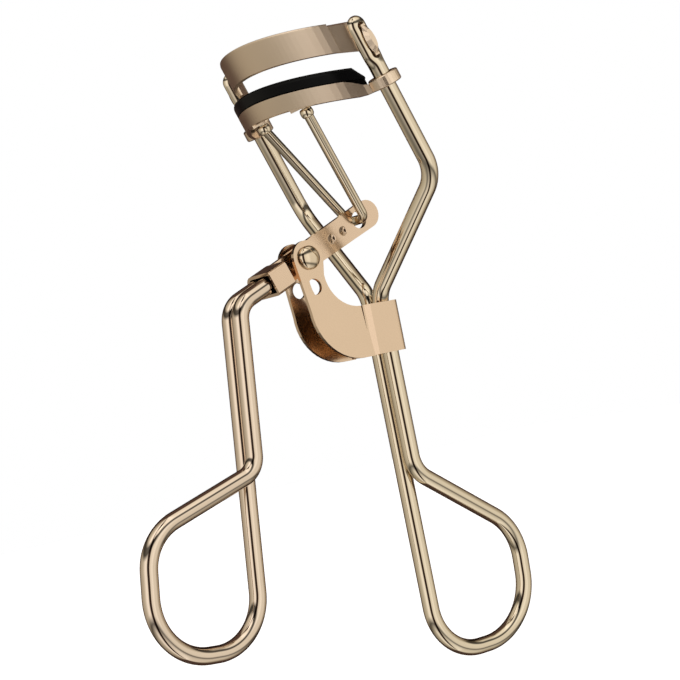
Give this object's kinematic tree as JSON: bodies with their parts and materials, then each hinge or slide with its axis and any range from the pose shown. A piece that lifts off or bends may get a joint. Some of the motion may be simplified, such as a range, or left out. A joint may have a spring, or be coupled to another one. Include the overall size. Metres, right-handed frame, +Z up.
{
  "type": "eyelash curler",
  "caption": "Hand-held wire eyelash curler: squeezing the finger loops rocks a lever whose push rod lifts a padded lower jaw to a curved upper jaw.",
  "frame": {"origin": "middle of the bounding box in X and Y, at the lowest point of the fixed finger loop", "axes": "+X from the moving handle to the fixed handle, +Y across the jaws, +Z up along the fixed handle to the jaws"},
  "size_m": [0.074, 0.0406, 0.104],
  "materials": {
    "gold_wire": "polished rose gold plating on steel wire",
    "gold_sheet": "polished rose gold plating on pressed steel",
    "gold_rivet": "polished rose gold plating",
    "black_silicone": "smooth glossy silicone"
  },
  "bodies": {
    "frame": {"frame_wire": "gold_wire", "upper_jaw": "gold_sheet", "bracket": "gold_sheet", "pivot_rivet": "gold_rivet"},
    "handle": {"lever_plate": "gold_sheet", "handle_wire": "gold_wire"},
    "jaw_carriage": {"lower_jaw": "gold_sheet", "silicone_pad": "black_silicone"},
    "rod": {"push_rod": "gold_wire"}
  },
  "joints": [
    {"name": "handle_pivot", "type": "hinge", "parent": "frame", "child": "handle", "pos_m": [0.00283, 0, 0.0692], "axis": [0, -1, 0], "range_deg": [-20, 7.5]},
    {"name": "jaw_slide", "type": "slide", "parent": "frame", "child": "jaw_carriage", "axis": [-0.3665, 0, 0.9304], "range_m": [-0.0049, 0.0019]},
    {"name": "rod_swing", "type": "hinge", "parent": "jaw_carriage", "child": "rod", "pos_m": [0.00531, 0, 0.09157], "axis": [0, -1, 0], "range_deg": [-2, 1]}
  ],
  "couplings": [
    {"joint": "jaw_slide", "follows": "handle_pivot", "m_per_rad": 0.0138},
    {"joint": "rod_swing", "follows": "handle_pivot", "ratio": 0.0626}
  ]
}
